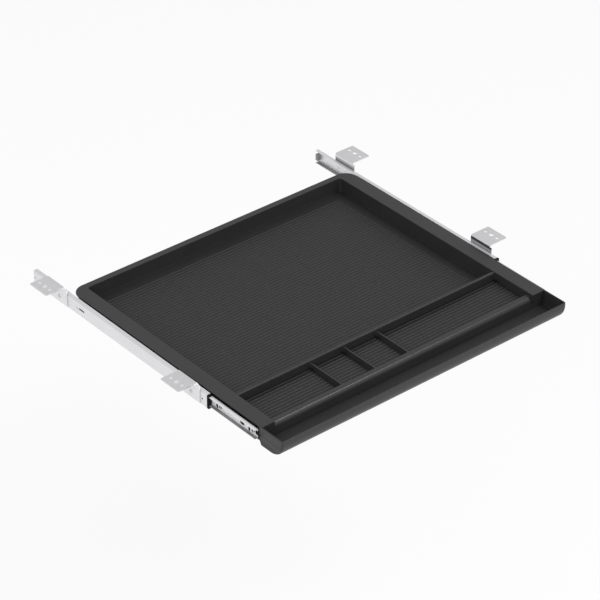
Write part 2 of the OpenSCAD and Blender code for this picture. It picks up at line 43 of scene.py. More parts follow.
# Tray sizes, in metres, as in the part's source
RIM_Z = -11.6 * MM
RIM_EDGE = 1.8 * MM
FLOOR_Z = -37.8 * MM
BIN_FLOOR_Z = -26.4 * MM
BODY_BOTTOM = -41.6 * MM
NOSE_BOTTOM = -46.6 * MM
WALL = 2.6 * MM
TRAY_X = 295 * MM
SKIRT_X = 291.3 * MM
WELL_X = 268.6 * MM
SCOOP_X = 292.8 * MM
FRONT_Y = -386.0 * MM
BACK_Y = 153.0 * MM
CHEEK_Y = -331.7 * MM
LIP = 2.2 * MM
NOSE_R = 29 * MM
SCOOP_BACK = -336.2 * MM
PENCIL_FRONT = -321.6 * MM
PENCIL_BACK = -246.3 * MM
MAIN_FRONT = -239.8 * MM
MAIN_BACK = 141.4 * MM
RIDGE_DROP = 1.7 * MM
FRONT_WALL_DROP = 5.3 * MM
DIVIDER_DROP = 6 * MM
DIVIDER_T = 2.2 * MM
DIVIDERS = (-122.8 * MM, -54.4 * MM, 14.0 * MM)
REAR_CORNER = 24 * MM
RECESS = TRAY_X - SKIRT_X
NOSE_CORNER = 3.5 * MM
MAIN_CORNER = 6 * MM
BIN_CORNER = 3 * MM
BASE_ROUND = 0.8 * MM
RIM_ROUND = 0.8 * MM
DIVIDER_ROUND = 0.7 * MM
WALL_TOP = RIM_Z - FRONT_WALL_DROP
RIDGE_TOP = RIM_Z - RIDGE_DROP
BIN_TOP = RIM_Z - DIVIDER_DROP

# The front wall's face: a slope under its flat top, then a steeper part down to the scoop
SLOPE_START = SCOOP_BACK + 6.6 * MM
SLOPE_END = SCOOP_BACK + 2.4 * MM
SLOPE_DROP = 5.5 * MM
FACE_DROP = 15 * MM

# Ribs on the floors, counted from the last one at the back
RIB_PITCH = 6.9 * MM
RIB_WIDTH = 3.2 * MM
RIB_HEIGHT = 0.9 * MM
MAIN_RIBS = 52
MAIN_RIB_MARGIN = 20 * MM
MAIN_RIB_LAST = MAIN_BACK - 22.6 * MM
BIN_RIBS = 10
BIN_RIB_MARGIN = 4.5 * MM
BIN_RIB_LAST = PENCIL_BACK - 5 * MM

# Slide and bracket sizes
SLIDE_Z = -25.4 * MM
OUTER_X = 304.5 * MM
WEB_IN = 303.3 * MM
INNER_FRONT = -329.5 * MM
INNER_REAR = 120.5 * MM
BRACKET_T = 1.6 * MM
BRACKET_Y = 173 * MM
FLANGE_X = 343.4 * MM
FLANGE_HALF = 22.6 * MM
WALL_EXTRA = 4.4 * MM
BRACKET_BOTTOM = -35.8 * MM
BEND_R = 3.5 * MM
HOLE_X = 329.6 * MM
HOLE_PITCH = 13.6 * MM
RIVETS = (-5 * MM, 12 * MM)
SCREWS = (-318.5 * MM, -239.8 * MM, -69.5 * MM, 95.5 * MM)
RAIL_X = TRAY_X + 1.2 * MM
FLANGE_CORNER = 2.5 * MM
HOLE_R = 3.9 * MM
SMALL_HOLE_R = 2.9 * MM
RIVET_HOLE_R = 2.05 * MM
RAIL_HOLE_R = 2.25 * MM

# Inner member's section: millimetres out and up from its web and centre, corner radius and steps
RAIL_SECTION = (
    (6.9, 8.4), (6.9, 7.2), (1.2, 7.2, 0.5, 3), (1.2, -7.2, 0.5, 3), (6.9, -7.2), (6.9, -8.4),
    (5.9, -8.4), (4.875, -8.1, 1.0, 3), (3.85, -8.4), (0, -8.4, 1.5, 5), (0, 8.4, 1.5, 5),
    (3.85, 8.4), (4.875, 8.1, 1.0, 3), (5.9, 8.4))

# Slots in its web: millimetres behind its front end and up, half length and half height
RAIL_SLOTS = ((20.5, 0, 2.3, 6.9), (98.4, 0, 2.3, 6.9), (37.4, -0.6, 5.4, 3.3), (330, -0.6, 5.4, 3.3),
              (0, 0, 6, 4))

# Profiles of the turned heads and shanks: radius and distance out, in millimetres
RIVET_PROFILE = (
    (0, 0), (2, 0), (2, 2.8), (3.3, 2.8), (3.4, 2.95), (3.4, 3.15), (3.15, 3.55), (2.5, 3.8),
    (1.7, 3.88), (1.3, 3.7), (1.0, 3.3), (0.5, 3.15), (0, 3.1))
SCREW_PROFILE = (
    (0, -12), (0.9, -12), (1.95, -10.5), (1.95, 0), (3.3, 0), (3.4, 0.15), (3.4, 1.0), (3.1, 1.45),
    (2.5, 1.7), (1.4, 1.8), (0, 1.8))

# Vertices closer than MERGE are one, edges that turn more than SHARP (degrees) are shaded sharp,
# and on the tray, edges that turn more than CORNER_TURN (radians) are corners to round
MERGE = 0.002 * MM
SHARP = 34
CORNER_TURN = 0.6

# Camera and studio
CAMERA_TURN = 39.82
CAMERA_RISE = 33.54
CAMERA_AT = (-2.3975, -2.9488, 2.4412)
CAMERA_LENS = 165.96
CAMERA_SENSOR = 36
GROUND_Z = -0.62
GROUND_SIZE = 9
SKY_STRENGTH = 0.85
GROUND_WHITE = 0.8
LAMPS = (("key_softbox", (1.1, -1.9, 2.2), 1.1, 30), ("fill_softbox", (-2.4, -1.0, 1.5), 1.6, 26))


# Camera at the photograph's angle

def place_camera():
    turn, rise = math.radians(CAMERA_TURN), math.radians(CAMERA_RISE)
    ahead = Vector((math.sin(turn) * math.cos(rise), math.cos(turn) * math.cos(rise), -math.sin(rise)))
    data = bpy.data.cameras.new("photo_camera")
    data.sensor_width = CAMERA_SENSOR
    data.lens = CAMERA_LENS
    data.clip_end = 50
    camera = bpy.data.objects.new("photo_camera", data)
    camera.location = CAMERA_AT
    camera.rotation_euler = ahead.to_track_quat("-Z", "Y").to_euler()
    bpy.context.scene.collection.objects.link(camera)
    bpy.context.scene.camera = camera


# Shader maths

class Value:
    """A number that varies over a surface, so that masks read as plain sums."""

    def __init__(self, nodes, socket):
        self.nodes = nodes
        self.socket = socket

    def maths(self, operation, first, second):
        return self.nodes.add("ShaderNodeMath", {"operation": operation}, {0: first, 1: second})

    def __add__(self, other):
        return self.maths("ADD", self, other)

    def __radd__(self, other):
        return self.maths("ADD", other, self)

    def __sub__(self, other):
        return self.maths("SUBTRACT", self, other)

    def __rsub__(self, other):
        return self.maths("SUBTRACT", other, self)

    def __mul__(self, other):
        return self.maths("MULTIPLY", self, other)

    def __rmul__(self, other):
        return self.maths("MULTIPLY", other, self)

    def __abs__(self):
        return self.maths("ABSOLUTE", self, 0.0)


class Nodes:
    """A node tree that starts empty."""

    def __init__(self, tree):
        self.tree = tree
        tree.nodes.clear()

    def add(self, kind, settings=None, sockets=None, output=0):
        """Adds a node: its settings first, then the values or links of its sockets."""
        node = self.tree.nodes.new(kind)
        for key, value in (settings or {}).items():
            setattr(node, key, value)
        for key, value in (sockets or {}).items():
            if isinstance(value, Value):
                self.tree.links.new(value.socket, node.inputs[key])
            else:
                node.inputs[key].default_value = value
        return Value(self, node.outputs[output])

    def end(self, kind, shader):
        output = self.tree.nodes.new(kind)
        self.tree.links.new(shader.socket, output.inputs["Surface"])


class Finish(Nodes):
    """One material and the nodes that make it."""

    def __init__(self, name):
        self.material = bpy.data.materials.new(name)
        self.material.use_nodes = True
        super().__init__(self.material.node_tree)
        self.place = self.add("ShaderNodeTexCoord", output="Object")

    def stretched(self, scale):
        return self.add("ShaderNodeMapping", None, {"Vector": self.place, "Scale": scale})

    def noise(self, size, detail=2.0, rough=0.5, vector=None):
        """Cloudy noise whose blotches are about this size in metres."""
        return self.add("ShaderNodeTexNoise", None, {
            "Vector": vector or self.place, "Scale": 1 / size, "Detail": detail, "Roughness": rough})

    def cells(self, size):
        """Rounded cells of about this size in metres."""
        return self.add("ShaderNodeTexVoronoi", {"feature": "SMOOTH_F1"}, {
            "Vector": self.place, "Scale": 1 / size, "Smoothness": 0.6})

    def fade(self, value, low, high, to_low=0.0, to_high=1.0):
        """A soft step of value from low to high."""
        return self.add("ShaderNodeMapRange", {"interpolation_type": "SMOOTHSTEP"}, {
            "Value": value, "From Min": low, "From Max": high, "To Min": to_low, "To Max": to_high})

    def blend(self, amount, first, second):
        """Mixes two colours, the first of which may be a mix itself."""
        colours = {6: (*first, 1) if isinstance(first, tuple) else first, 7: (*second, 1)}
        return self.add("ShaderNodeMix", {"data_type": "RGBA"}, {0: amount, **colours}, output=2)

    def part_of_place(self, axis):
        return self.add("ShaderNodeSeparateXYZ", None, {"Vector": self.place}, output=axis)

    def across(self):
        return self.part_of_place(0)

    def along(self):
        return self.part_of_place(1)

    def height(self):
        return self.part_of_place(2)

    def bump(self, value, depth, strength):
        return self.add("ShaderNodeBump", None, {"Height": value, "Distance": depth, "Strength": strength})

    def shader(self, **sockets):
        """A Principled shader with these sockets."""
        named = {key.replace("_", " "): (*value, 1) if isinstance(value, tuple) else value
                 for key, value in sockets.items()}
        return self.add("ShaderNodeBsdfPrincipled", None, named)

    def done(self, shader):
        self.end("ShaderNodeOutputMaterial", shader)
        return self.material

    def surface(self, **sockets):
        return self.done(self.shader(**sockets))


def between_ribs(finish, floor, painted_shade):
    """The floor around and between its ribs, mixed towards black as painted shade, most at the floor and
    least on the rib tops.
    """
    valley = finish.fade(finish.height(), floor + 0.1 * MM, floor + 0.7 * MM, painted_shade, painted_shade / 8)
    return valley * finish.fade(finish.height(), floor - 0.6 * MM, floor - 0.3 * MM) * finish.fade(
        finish.height(), floor + 1.5 * MM, floor + 1.2 * MM)


def worn_edge(finish):
    """The front wall's slope, where fingers have polished the plastic."""
    ahead = finish.fade(finish.along(), SCOOP_BACK + 10 * MM, SCOOP_BACK + 8 * MM)
    behind = finish.fade(finish.along(), SCOOP_BACK - 0.6 * MM, SCOOP_BACK - 0.3 * MM)
    between = finish.fade(abs(finish.across()), WELL_X + 0.1 * MM, WELL_X - 0.3 * MM)
    above = finish.fade(finish.height(), WALL_TOP - 6 * MM, WALL_TOP - 5 * MM)
    return ahead * behind * between * above


def moulded_black():
    """Charcoal plastic with a fine moulded grain, with painted shade under the rim, on the floors and beside
    the ridge wall.
    """
    finish = Finish("moulded_black")
    clouds = finish.noise(0.05, 3)
    patches = finish.noise(0.012, 2)
    grain = finish.cells(0.0011)
    specks = finish.noise(0.0006, 1)
    drag = finish.noise(0.004, 2, 0.6, finish.stretched((0.12, 1.0, 1.0)))
    scuffs = finish.fade(drag, 0.62, 0.72)
    # The main floor is rougher, and its colour a little darker as painted shade of the deep well
    floor = finish.fade(finish.height(), FLOOR_Z + 0.4 * MM, FLOOR_Z + 2.5 * MM, 1.0, 0.0)
    tone = clouds * 0.6 + patches * 0.25 + specks * 0.15
    colour = finish.blend(tone, (0.018, 0.018, 0.019), (0.027, 0.027, 0.029))
    colour = finish.blend(floor * 0.1, colour, (0.015, 0.015, 0.016))
    rough = 0.40 + clouds * 0.07 + grain * 0.04 - scuffs * 0.05 + floor * 0.08 - worn_edge(finish) * 0.14
    relief = finish.bump(grain * 0.7 + specks * 0.3, 0.04 * MM, 0.5)
    satin = finish.shader(Base_Color=colour, Roughness=rough, Normal=relief)
    # A near-black shader, mixed in wherever the surface carries painted shade
    dull = finish.shader(Base_Color=(0.004, 0.004, 0.004), Roughness=0.6, IOR=1.2)
    # Painted shade on the skirt's outer face, under the rim's overhang and behind the cheeks
    under = finish.fade(finish.height(), RIM_Z - 0.5 * MM, RIM_Z - 0.9 * MM)
    outer = finish.fade(abs(finish.across()), SKIRT_X - 0.3 * MM, SKIRT_X - 0.1 * MM)
    behind = finish.fade(finish.along(), CHEEK_Y - 2 * MM, CHEEK_Y + 4 * MM)
    skirt = under * outer * behind * 0.95
    # Painted shadow of the ridge wall on the pencil bins' floors next to it, on top of the painted shade
    # between their ribs
    in_bins = finish.fade(finish.along(), PENCIL_BACK, PENCIL_BACK - 0.3 * MM)
    ridge_shadow = finish.fade(finish.along(), PENCIL_BACK - 16 * MM, PENCIL_BACK - 3 * MM)
    bin_floor = finish.fade(finish.height(), BIN_FLOOR_Z + 3 * MM, BIN_FLOOR_Z + 1.5 * MM)
    bins_shade = between_ribs(finish, BIN_FLOOR_Z, 0.42) + ridge_shadow * bin_floor * 0.35
    shade = skirt + between_ribs(finish, FLOOR_Z, 0.24) + bins_shade * in_bins
    return finish.done(finish.add("ShaderNodeMixShader", None, {0: shade, 1: satin, 2: dull}))


def zinc_plate(name, light, dark, dull, metal, stain_and_shade=None):
    """Rolled sheet steel with bright zinc: faint lines along the slide, a soft mottle, and a darker mask of
    grease and painted shade.
    """
    finish = Finish(name)
    rolled = finish.noise(0.002, 2, 0.5, finish.stretched((1.0, 0.02, 1.0)))
    mottle = finish.noise(0.009, 3)
    clouds = finish.noise(0.05, 2)
    tone = rolled * 0.3 + mottle * 0.4 + clouds * 0.3
    colour = finish.blend(finish.fade(tone, 0.35, 0.65), dark, light)
    rough = dull + rolled * 0.04 + mottle * 0.08
    if stain_and_shade:
        # The mask blends the colour towards a dark grey-brown: grease, and painted shade in channels, slots,
        # screw recesses and on bracket walls
        colour = finish.blend(stain_and_shade(finish) * (0.8 + mottle * 0.2), colour, (0.05, 0.048, 0.045))
    relief = finish.bump(rolled * 0.6 + mottle * 0.4, 0.01 * MM, 0.15)
    return finish.surface(Base_Color=colour, Metallic=metal, Roughness=rough, Normal=relief)


def grease_and_shade_in_channel(finish):
    """The outer member's lower flange inside the channel, darkened by grease on its ball race and by painted
    shade under the upper flange.
    """
    inside = finish.fade(abs(finish.across()), OUTER_X - 0.4 * MM, OUTER_X - 0.8 * MM)
    within = finish.fade(abs(finish.height() - SLIDE_Z), 12.2 * MM, 11.8 * MM)
    flange = finish.fade(finish.height(), SLIDE_Z - 9.8 * MM, SLIDE_Z - 10.5 * MM)
    return inside * within * flange * 0.65


def grease_and_shade_on_rail(finish):
    """The inner member's lower flange, darkened by grease and painted shade, and the cut edges of its web's
    slots, darkened by painted shade.
    """
    above = finish.fade(finish.height(), SLIDE_Z - 8.2 * MM, SLIDE_Z - 7.9 * MM)
    below = finish.fade(finish.height(), SLIDE_Z - 6.9 * MM, SLIDE_Z - 7.1 * MM)
    out = finish.fade(abs(finish.across()), TRAY_X + 1.1 * MM, TRAY_X + 1.5 * MM)
    cut = finish.fade(abs(finish.across()), TRAY_X + 1.16 * MM, TRAY_X + 1.02 * MM)
    web = finish.fade(abs(finish.height() - SLIDE_Z), 7.1 * MM, 6.9 * MM)
    return above * below * out * 0.85 + cut * web


def shade_on_wall(finish):
    """Painted shade on a bracket's inner face: a dark band in front, a soft shade at the foot in the rear."""
    inner = finish.fade(abs(finish.across()), OUTER_X + 0.5 * MM, OUTER_X + 0.2 * MM)
    band_top = finish.fade(finish.height(), -1.6 * MM, -2.8 * MM)
    band = band_top * finish.fade(finish.height(), -8.6 * MM, -7.2 * MM)
    foot = finish.fade(finish.height(), -6 * MM, -8 * MM)
    front = finish.fade(finish.along(), 10 * MM, -10 * MM)
    rear = finish.fade(finish.along(), -10 * MM, 10 * MM)
    low = finish.fade(finish.height(), -3 * MM, -11 * MM)
    return inner * (front * (band * 0.95 + (1 - band) * foot * 0.5) + rear * low * 0.6)


def shade_in_recess(finish):
    """The shaded cross recess of a tray screw."""
    return finish.fade(abs(finish.across()), TRAY_X + 2.85 * MM, TRAY_X + 2.5 * MM)


def guide_black():
    """Smooth black guide plastic with faint flow marks."""
    finish = Finish("guide_black")
    flow = finish.noise(0.003, 3)
    specks = finish.noise(0.0005, 1)
    colour = finish.blend(flow, (0.002, 0.002, 0.003), (0.006, 0.006, 0.007))
    relief = finish.bump(specks, 0.02 * MM, 0.4)
    return finish.surface(Base_Color=colour, Roughness=0.5 + flow * 0.12, Normal=relief, IOR=1.28)


def bumper_rubber():
    """Dull dark rubber with a bloom of lighter grey."""
    finish = Finish("bumper_rubber")
    bloom = finish.noise(0.002, 4)
    pores = finish.cells(0.0005)
    colour = finish.blend(bloom, (0.25, 0.25, 0.255), (0.34, 0.34, 0.345))
    relief = finish.bump(pores, 0.03 * MM, 0.5)
    return finish.surface(Base_Color=colour, Roughness=0.75 + bloom * 0.12, Normal=relief)


def polished_steel():
    """Ground bearing steel."""
    finish = Finish("polished_steel")
    haze = finish.noise(0.0008, 2)
    colour = finish.blend(haze, (0.62, 0.62, 0.63), (0.74, 0.74, 0.75))
    return finish.surface(Base_Color=colour, Metallic=1.0, Roughness=0.08 + haze * 0.06)


# Mesh tools

def middle(edge):
    return (edge.verts[0].co + edge.verts[1].co) / 2


def runs_along(edge, axis):
    step = edge.verts[1].co - edge.verts[0].co
    return abs(step[axis]) > 0.999 * step.length


def near(first, second):
    return abs(first - second) < 0.01 * MM


def on_side(edge, x):
    """Whether an edge lies in the plane this far out, on the left or on the right."""
    first, second = (vert.co.x for vert in edge.verts)
    return near(abs(first), x) and near(abs(second), x) and near(first, second)


def upright(bm, wanted):
    """The upright edges whose middle is wanted."""
    return [e for e in bm.edges if runs_along(e, 2) and wanted(middle(e))]


def join_near(bm):
    bmesh.ops.remove_doubles(bm, verts=bm.verts, dist=MERGE)


def round_edges(bm, edges, radius, steps):
    bmesh.ops.bevel(bm, geom=edges, offset=radius, offset_type="OFFSET", segments=steps, profile=0.5,
                    affect="EDGES", clamp_overlap=False, material=-1)


def block(low, high, corner=0, base=0, corner_steps=6, base_steps=4):
    """A box whose upright edges and bottom edges may be rounded."""
    bm = bmesh.new()
    bmesh.ops.create_cube(bm, size=1)
    low, high = Vector(low), Vector(high)
    bmesh.ops.scale(bm, vec=high - low, verts=bm.verts)
    bmesh.ops.translate(bm, vec=(low + high) / 2, verts=bm.verts)
    if corner:
        round_edges(bm, upright(bm, lambda centre: True), corner, corner_steps)
    if base:
        round_edges(bm, [e for e in bm.edges if near(middle(e).z, low.z)
                         and near(e.verts[0].co.z, e.verts[1].co.z)], base, base_steps)
    return bm


def prism(outline, start, end, axis="x"):
    """A side view of (across, up) or (across, up, corner radius, steps) points, drawn out along an axis."""
    bm = bmesh.new()
    put = (lambda a, b: (start, a, b)) if axis == "x" else (lambda a, b: (a, start, b))
    corners = [bm.verts.new(put(p[0], p[1])) for p in outline]
    bm.faces.new(corners)
    for corner, point in zip(corners, outline):
        if len(point) > 2:
            bmesh.ops.bevel(bm, geom=[corner], offset=point[2], offset_type="OFFSET", segments=point[3],
                            profile=0.5, affect="VERTICES", clamp_overlap=False, material=-1)
    grown = bmesh.ops.extrude_face_region(bm, geom=list(bm.faces))
    step = (end - start, 0, 0) if axis == "x" else (0, end - start, 0)
    bmesh.ops.translate(bm, vec=step, verts=[g for g in grown["geom"] if isinstance(g, bmesh.types.BMVert)])
    bmesh.ops.recalc_face_normals(bm, faces=bm.faces)
    return bm


def bar(centre, axis, radius, length, steps=32):
    """A round bar along x or z."""
    bm = bmesh.new()
    bmesh.ops.create_cone(bm, cap_ends=True, segments=steps, radius1=radius, radius2=radius, depth=length)
    if axis == "x":
        bmesh.ops.rotate(bm, cent=(0, 0, 0), matrix=Matrix.Rotation(math.pi / 2, 3, "Y"), verts=bm.verts)
    bmesh.ops.translate(bm, vec=centre, verts=bm.verts)
    return bm


def mirrored(bm):
    """The same shape on the left side."""
    copy = bm.copy()
    bmesh.ops.scale(copy, vec=(-1, 1, 1), verts=copy.verts)
    bmesh.ops.recalc_face_normals(copy, faces=copy.faces)
    return copy


def to_object(bm, name):
    mesh = bpy.data.meshes.new(name)
    bm.to_mesh(mesh)
    bm.free()
    thing = bpy.data.objects.new(name, mesh)
    bpy.context.scene.collection.objects.link(thing)
    return thing


def carve(bm, tools, how="DIFFERENCE"):
    """Cuts the tools from a shape, or joins them to it."""
    base = to_object(bm, "carved")
    others = [to_object(tool, "tool") for tool in tools]
    for other in others:
        step = base.modifiers.new("step", "BOOLEAN")
        step.operation, step.solver, step.object = how, "EXACT", other
    graph = bpy.context.evaluated_depsgraph_get()
    result = bmesh.new()
    result.from_mesh(base.evaluated_get(graph).to_mesh())
    for thing in [base, *others]:
        mesh = thing.data
        bpy.data.objects.remove(thing)
        bpy.data.meshes.remove(mesh)
    return result


def add_to(bm, other):
    """Puts a second closed shape in the same mesh."""
    mesh = bpy.data.meshes.new("addition")
    other.to_mesh(mesh)
    other.free()
    bm.from_mesh(mesh)
    bpy.data.meshes.remove(mesh)


def finished(bm, name, material, body, node):
    """Makes the shape a piece that replaces a CAD node, smooth except at its sharp edges."""
    piece = to_object(bm, name)
    piece.data.materials.append(material)
    piece.data.shade_smooth()
    piece.data.set_sharp_from_angle(angle=math.radians(SHARP))
    flat = piece.modifiers.new("flat_faces", "WEIGHTED_NORMAL")
    flat.keep_sharp = True
    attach(piece, body)
    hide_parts(node)


# The tray

def tray_outside():
    """Nose, rim and skirt before the wells are cut."""
    under_rim = RIM_Z - RIM_EDGE
    nose = prism([
        (FRONT_Y, RIM_Z), (FRONT_Y, NOSE_BOTTOM, NOSE_R, 24), (CHEEK_Y - 2.5 * MM, NOSE_BOTTOM, 1 * MM, 3),
        (CHEEK_Y, BODY_BOTTOM), (CHEEK_Y, under_rim, 8 * MM, 8), (BACK_Y, under_rim), (BACK_Y, RIM_Z),
    ], -TRAY_X, TRAY_X)
    round_edges(nose, upright(nose, lambda centre: near(centre.y, BACK_Y)), REAR_CORNER, 12)
    cheek_edges = [e for e in nose.edges if on_side(e, TRAY_X)
                   and middle(e).y < CHEEK_Y - 0.1 * MM and middle(e).z < RIM_Z - 0.1 * MM]
    round_edges(nose, cheek_edges, NOSE_CORNER, 6)
    skirt = block((-SKIRT_X, CHEEK_Y - 8 * MM, BODY_BOTTOM), (SKIRT_X, BACK_Y - RECESS, RIM_Z - RIM_EDGE / 2))
    round_edges(skirt, upright(skirt, lambda centre: centre.y > 0), REAR_CORNER - RECESS, 12)
    return carve(nose, [skirt], "UNION")


def bins():
    """Left and right side of each pencil compartment."""
    lefts = [-WELL_X] + [x + DIVIDER_T / 2 for x in DIVIDERS]
    rights = [x - DIVIDER_T / 2 for x in DIVIDERS] + [WELL_X]
    return list(zip(lefts, rights))


def wells():
    """Everything that is cut from above."""
    over = RIM_Z + 3 * MM
    cuts = [block((-WELL_X, MAIN_FRONT, FLOOR_Z), (WELL_X, MAIN_BACK, over), MAIN_CORNER, BASE_ROUND, 6, 2)]
    for left, right in bins():
        cuts.append(block((left, PENCIL_FRONT, BIN_FLOOR_Z), (right, PENCIL_BACK, BIN_TOP + 1 * MM),
                          BIN_CORNER, BASE_ROUND, 5, 2))
    in_main, in_scoop = MAIN_FRONT + 7 * MM, SCOOP_BACK - 4 * MM
    cuts.append(prism([
        (in_main, over), (in_main, RIDGE_TOP - 3 * MM), (MAIN_FRONT, RIDGE_TOP - 3 * MM),
        (MAIN_FRONT, RIDGE_TOP, 2.4 * MM, 5), (PENCIL_BACK, RIDGE_TOP, 0.9 * MM, 3),
        (PENCIL_BACK, BIN_TOP), (PENCIL_FRONT, BIN_TOP), (PENCIL_FRONT, WALL_TOP, 1 * MM, 3),
        (SLOPE_START, WALL_TOP, 2.2 * MM, 4), (SLOPE_END, WALL_TOP - SLOPE_DROP, 2 * MM, 4),
        (SCOOP_BACK, WALL_TOP - FACE_DROP), (in_scoop, WALL_TOP - FACE_DROP), (in_scoop, over),
    ], -WELL_X, WELL_X))
    return cuts


def finger_scoop():
    """The hollow behind the front lip, curved with the nose."""
    front, bottom, over = FRONT_Y + LIP, NOSE_BOTTOM + LIP, RIM_Z + 3 * MM
    bm = prism([
        (front, over), (front, bottom, NOSE_R - LIP, 20), (SCOOP_BACK, bottom), (SCOOP_BACK, over),
    ], -SCOOP_X, SCOOP_X)
    spare = 5 * MM
    under_floor = block((-TRAY_X, FRONT_Y - spare, NOSE_BOTTOM - spare),
                        (TRAY_X, SCOOP_BACK + spare, FLOOR_Z))
    bm = carve(bm, [under_floor])
    join_near(bm)
    end_edges = [e for e in bm.edges if on_side(e, SCOOP_X) and middle(e).z < RIM_Z + 2 * MM
                 and not near(middle(e).y, SCOOP_BACK)]
    round_edges(bm, end_edges, NOSE_CORNER - LIP, 5)
    return bm


def underside():
    """Hollows that are open from below."""
    under = BODY_BOTTOM - 8 * MM
    deep = RIM_Z - WALL
    in_x, in_back = SKIRT_X - WALL, BACK_Y - RECESS - WALL
    well_x, well_back = WELL_X + WALL, MAIN_BACK + WALL
    front = SCOOP_BACK + WALL

    ring = block((-in_x, front, under), (in_x, in_back, deep))
    round_edges(ring, upright(ring, lambda centre: centre.y > 0), REAR_CORNER - RECESS - WALL, 10)
    core = block((-well_x, front - 5 * MM, under - 1 * MM), (well_x, well_back, deep + 5 * MM),
                 MAIN_CORNER + WALL, 0, 6)
    cuts = [carve(ring, [core])]

    def hollow(start, end, top, *corner):
        cuts.append(block((-well_x, start, under), (well_x, end, top), *corner))

    hollow(front, well_back, FLOOR_Z - WALL, 4 * MM, 0, 4)
    behind, inner_top = PENCIL_FRONT - WALL, WALL_TOP - WALL
    cuts.append(prism([
        (front, under), (front, WALL_TOP - FACE_DROP), (SCOOP_BACK + 4.6 * MM, WALL_TOP - 7 * MM),
        (SLOPE_START + 1 * MM, inner_top), (behind, inner_top), (behind, under),
    ], -well_x, well_x))
    hollow(behind - 1 * MM, PENCIL_BACK + WALL + 1 * MM, BIN_FLOOR_Z - WALL)
    hollow(PENCIL_BACK + WALL, MAIN_FRONT - WALL, RIDGE_TOP - WALL)

    web_step, half_web = 90 * MM, 1.2 * MM
    edges = [-WELL_X] + [i * web_step + s * half_web for i in range(-2, 3) for s in (-1, 1)] + [WELL_X]
    for left, right in zip(edges[0::2], edges[1::2]):
        cuts.append(block((left, FRONT_Y + NOSE_R, under), (right, SCOOP_BACK - WALL, FLOOR_Z - WALL)))
    return cuts


def floor_ribs(bm, left, right, last, count, floor):
    """A row of low ribs on a floor: a flattened ball with its halves pulled apart, then copied."""
    half, half_sector = RIB_WIDTH / 2, math.pi / 8
    rib = bmesh.new()
    bmesh.ops.create_uvsphere(rib, u_segments=8, v_segments=8, radius=1)
    bmesh.ops.rotate(rib, cent=(0, 0, 0), matrix=Matrix.Rotation(half_sector, 3, "Z"), verts=rib.verts)
    bmesh.ops.scale(rib, vec=(half, half / math.cos(half_sector), RIB_HEIGHT), verts=rib.verts)
    for vert in rib.verts:
        vert.co.x += right - half if vert.co.x > 1e-6 else left + half
    for i in range(count):
        copy = rib.copy()
        bmesh.ops.translate(copy, vec=(0, last - i * RIB_PITCH, floor), verts=copy.verts)
        add_to(bm, copy)
    rib.free()


def make_tray(material):
    """The tray, with pads for the rails outside its skirt and screw bosses inside."""
    bm = carve(tray_outside(), wells())
    bm = carve(bm, [finger_scoop()])
    bm = carve(bm, underside())
    join_near(bm)
    rim_edges = [e for e in bm.edges if near(e.verts[0].co.z, RIM_Z) and near(e.verts[1].co.z, RIM_Z)
                 and len(e.link_faces) == 2 and e.calc_face_angle(0) > CORNER_TURN]
    step_edges = upright(bm, lambda centre: near(abs(centre.x), WELL_X) and near(centre.y, SCOOP_BACK)
                         and centre.z > RIM_Z - RIM_EDGE)
    round_edges(bm, rim_edges + step_edges, RIM_ROUND, 3)
    divider_edges = [e for e in bm.edges if runs_along(e, 1) and near(middle(e).z, BIN_TOP)
                     and any(abs(middle(e).x - x) < 2 * MM for x in DIVIDERS)
                     and e.calc_face_angle(0) > CORNER_TURN]
    round_edges(bm, divider_edges, DIVIDER_ROUND, 3)
    floor_ribs(bm, -WELL_X + MAIN_RIB_MARGIN, WELL_X - MAIN_RIB_MARGIN, MAIN_RIB_LAST, MAIN_RIBS, FLOOR_Z)
    for left, right in bins():
        floor_ribs(bm, left + BIN_RIB_MARGIN, right - BIN_RIB_MARGIN, BIN_RIB_LAST, BIN_RIBS, BIN_FLOOR_Z)
    pad_x, pad_r, pad_length = SKIRT_X + 1.6 * MM, 6 * MM, 4.1 * MM
    boss_x, boss_r, boss_length = SKIRT_X - WALL - 3 * MM, 4.55 * MM, 8 * MM
    for y in SCREWS:
        for side in (-1, 1):
            add_to(bm, bar((side * pad_x, y, SLIDE_Z), "x", pad_r, pad_length))
            add_to(bm, bar((side * boss_x, y, SLIDE_Z), "x", boss_r, boss_length))
    finished(bm, "moulded_tray", material, "drawer", "tray")


# Drawer rails, brackets, rivets and screws

def web_slot(step, up, half_y, half_z):
    """A round-ended cutter through a rail's web, from its sizes in millimetres."""
    y, z = INNER_FRONT + step * MM, SLIDE_Z + up * MM
    corner = min(half_y, half_z) * MM * 0.98
    turns = ((-1, -1), (1, -1), (1, 1), (-1, 1))
    return prism([(y + a * half_y * MM, z + b * half_z * MM, corner, 6) for a, b in turns],
                 TRAY_X - 1 * MM, TRAY_X + 2 * MM)


def rail_point(out, up, radius=None, steps=0):
    """A point of the rail's section, put in place."""
    corner = () if radius is None else (radius * MM, steps)
    return (TRAY_X + out * MM, SLIDE_Z + up * MM, *corner)


def make_rail(side, material, node):
    """Inner slide member: a rolled channel with ball grooves, slots and screw holes."""
    bm = prism([rail_point(*point) for point in RAIL_SECTION], INNER_FRONT, INNER_REAR, "y")
    cuts = [bar((TRAY_X, y, SLIDE_Z), "x", RAIL_HOLE_R, 6 * MM, 24) for y in SCREWS]
    cuts += [web_slot(*sizes) for sizes in RAIL_SLOTS]
    bm = carve(bm, cuts)
    join_near(bm)
    if side < 0:
        bm = mirrored(bm)
    finished(bm, node + "_rail", material, "drawer", node)


